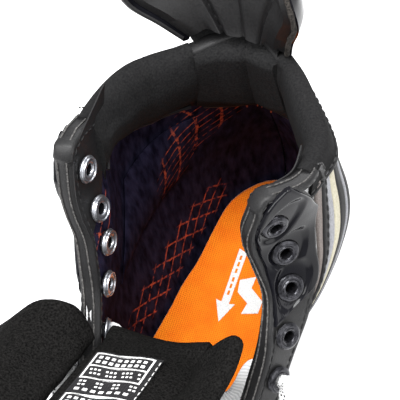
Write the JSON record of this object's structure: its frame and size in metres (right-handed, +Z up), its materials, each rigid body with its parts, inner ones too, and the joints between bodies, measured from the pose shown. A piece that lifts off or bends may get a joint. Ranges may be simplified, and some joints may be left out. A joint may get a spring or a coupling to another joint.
{
  "type": "ice skate",
  "caption": "Child-size lace-up ice skate: padded boot with fold-down felt tongue, flexible tendon guard, eyelet facings and a runner in a moulded holder.",
  "frame": {"origin": "on the floor under the runner, in the middle of the skate seen from above (its free lace left out)", "axes": "-Y towards the toe, +X towards the inner (medial) side of this right foot, +Z up"},
  "size_m": [0.106, 0.2814, 0.2249],
  "materials": {
    "achilles_pad": "coated foam",
    "blade_holder": "moulded nylon",
    "footbed": "cloth-topped foam",
    "front_runner_bolt": "plain",
    "heel_counter": "moulded",
    "holder_rivet_1": "plain",
    "holder_rivet_2": "plain",
    "holder_rivet_3": "plain",
    "holder_rivet_4": "plain",
    "holder_rivet_5": "plain",
    "holder_rivet_6": "plain",
    "insole_board": "pressed board",
    "lace_aglet_lateral": "moulded tip",
    "lace_aglet_medial": "moulded tip",
    "lace_end_lateral": "woven",
    "lace_end_medial": "woven",
    "lace_hank_lateral": "woven",
    "lace_hank_medial": "woven",
    "lace_laced": "woven",
    "lateral_ankle_pad": "soft foam",
    "lateral_collar_pad": "coated foam",
    "lateral_eyelet_1": "black coated steel",
    "lateral_eyelet_2": "black coated steel",
    "lateral_eyelet_3": "black coated steel",
    "lateral_eyelet_4": "black coated steel",
    "lateral_eyelet_5": "black coated steel",
    "lateral_eyelet_6": "black coated steel",
    "lateral_eyelet_7": "black coated steel",
    "lateral_eyelet_8": "black coated steel",
    "lateral_eyelet_patch": "gloss moulded",
    "lateral_facing": "coated cloth",
    "lateral_liner": "brushed knit",
    "lateral_quarter": "coated composite shell",
    "medial_ankle_pad": "soft foam",
    "medial_collar_pad": "coated foam",
    "medial_eyelet_1": "black coated steel",
    "medial_eyelet_2": "black coated steel",
    "medial_eyelet_3": "black coated steel",
    "medial_eyelet_4": "black coated steel",
    "medial_eyelet_5": "black coated steel",
    "medial_eyelet_6": "black coated steel",
    "medial_eyelet_7": "black coated steel",
    "medial_eyelet_8": "black coated steel",
    "medial_eyelet_patch": "gloss moulded",
    "medial_facing": "coated cloth",
    "medial_liner": "brushed knit",
    "medial_quarter": "coated composite shell",
    "outsole": "moulded",
    "rear_runner_bolt": "plain",
    "runner": "ground steel",
    "tendon_guard": "flexible moulding",
    "tendon_guard_pad": "coated foam",
    "toe_cap": "gloss moulded",
    "tongue_base": "felt",
    "tongue_body": "felt",
    "tongue_cover": "coated cloth",
    "tongue_label": "printed tape",
    "tongue_wing_lateral": "felt",
    "tongue_wing_medial": "felt"
  },
  "bodies": {
    "boot": {"achilles_pad": "achilles_pad", "blade_holder": "blade_holder", "footbed": "footbed", "front_runner_bolt": "front_runner_bolt", "heel_counter": "heel_counter", "holder_rivet_1": "holder_rivet_1", "holder_rivet_2": "holder_rivet_2", "holder_rivet_3": "holder_rivet_3", "holder_rivet_4": "holder_rivet_4", "holder_rivet_5": "holder_rivet_5", "holder_rivet_6": "holder_rivet_6", "insole_board": "insole_board", "lace_aglet_lateral": "lace_aglet_lateral", "lace_aglet_medial": "lace_aglet_medial", "lace_end_lateral": "lace_end_lateral", "lace_end_medial": "lace_end_medial", "lace_hank_lateral": "lace_hank_lateral", "lace_hank_medial": "lace_hank_medial", "lace_laced": "lace_laced", "lateral_ankle_pad": "lateral_ankle_pad", "lateral_collar_pad": "lateral_collar_pad", "lateral_eyelet_1": "lateral_eyelet_1", "lateral_eyelet_2": "lateral_eyelet_2", "lateral_eyelet_3": "lateral_eyelet_3", "lateral_eyelet_4": "lateral_eyelet_4", "lateral_eyelet_5": "lateral_eyelet_5", "lateral_eyelet_6": "lateral_eyelet_6", "lateral_eyelet_7": "lateral_eyelet_7", "lateral_eyelet_8": "lateral_eyelet_8", "lateral_eyelet_patch": "lateral_eyelet_patch", "lateral_facing": "lateral_facing", "lateral_liner": "lateral_liner", "lateral_quarter": "lateral_quarter", "medial_ankle_pad": "medial_ankle_pad", "medial_collar_pad": "medial_collar_pad", "medial_eyelet_1": "medial_eyelet_1", "medial_eyelet_2": "medial_eyelet_2", "medial_eyelet_3": "medial_eyelet_3", "medial_eyelet_4": "medial_eyelet_4", "medial_eyelet_5": "medial_eyelet_5", "medial_eyelet_6": "medial_eyelet_6", "medial_eyelet_7": "medial_eyelet_7", "medial_eyelet_8": "medial_eyelet_8", "medial_eyelet_patch": "medial_eyelet_patch", "medial_facing": "medial_facing", "medial_liner": "medial_liner", "medial_quarter": "medial_quarter", "outsole": "outsole", "rear_runner_bolt": "rear_runner_bolt", "runner": "runner", "toe_cap": "toe_cap", "tongue_base": "tongue_base"},
    "tendon_guard_body": {"tendon_guard": "tendon_guard", "tendon_guard_pad": "tendon_guard_pad"},
    "tongue": {"tongue_body": "tongue_body", "tongue_cover": "tongue_cover", "tongue_label": "tongue_label"},
    "tongue_wing_lateral_body": {"tongue_wing_lateral": "tongue_wing_lateral"},
    "tongue_wing_medial_body": {"tongue_wing_medial": "tongue_wing_medial"}
  },
  "joints": [
    {"name": "tongue_fold", "type": "hinge", "parent": "boot", "child": "tongue", "pos_m": [-0.0014, -0.01076, 0.135], "axis": [-0.9927, 0.1043, 0.0599], "range_deg": [0, 75]},
    {"name": "tongue_wing_lateral_fold", "type": "hinge", "parent": "tongue", "child": "tongue_wing_lateral_body", "pos_m": [-0.02912, -0.04141, 0.15468], "axis": [0.0947, 0.9013, -0.4226], "range_deg": [0, 68]},
    {"name": "tongue_wing_medial_fold", "type": "hinge", "parent": "tongue", "child": "tongue_wing_medial_body", "pos_m": [0.00708, -0.04521, 0.15468], "axis": [-0.0947, -0.9013, 0.4226], "range_deg": [0, 16]},
    {"name": "tendon_guard_flex", "type": "hinge", "parent": "boot", "child": "tendon_guard_body", "pos_m": [-0.0029, 0.09544, 0.1784], "axis": [-1, 0, 0], "range_deg": [-4, 26], "stiffness_Nm_per_rad": 0.6}
  ],
  "couplings": [
    {"joint": "tongue_wing_lateral_fold", "follows": "tongue_fold", "ratio": 0.9},
    {"joint": "tongue_wing_medial_fold", "follows": "tongue_fold", "ratio": 0.2}
  ]
}
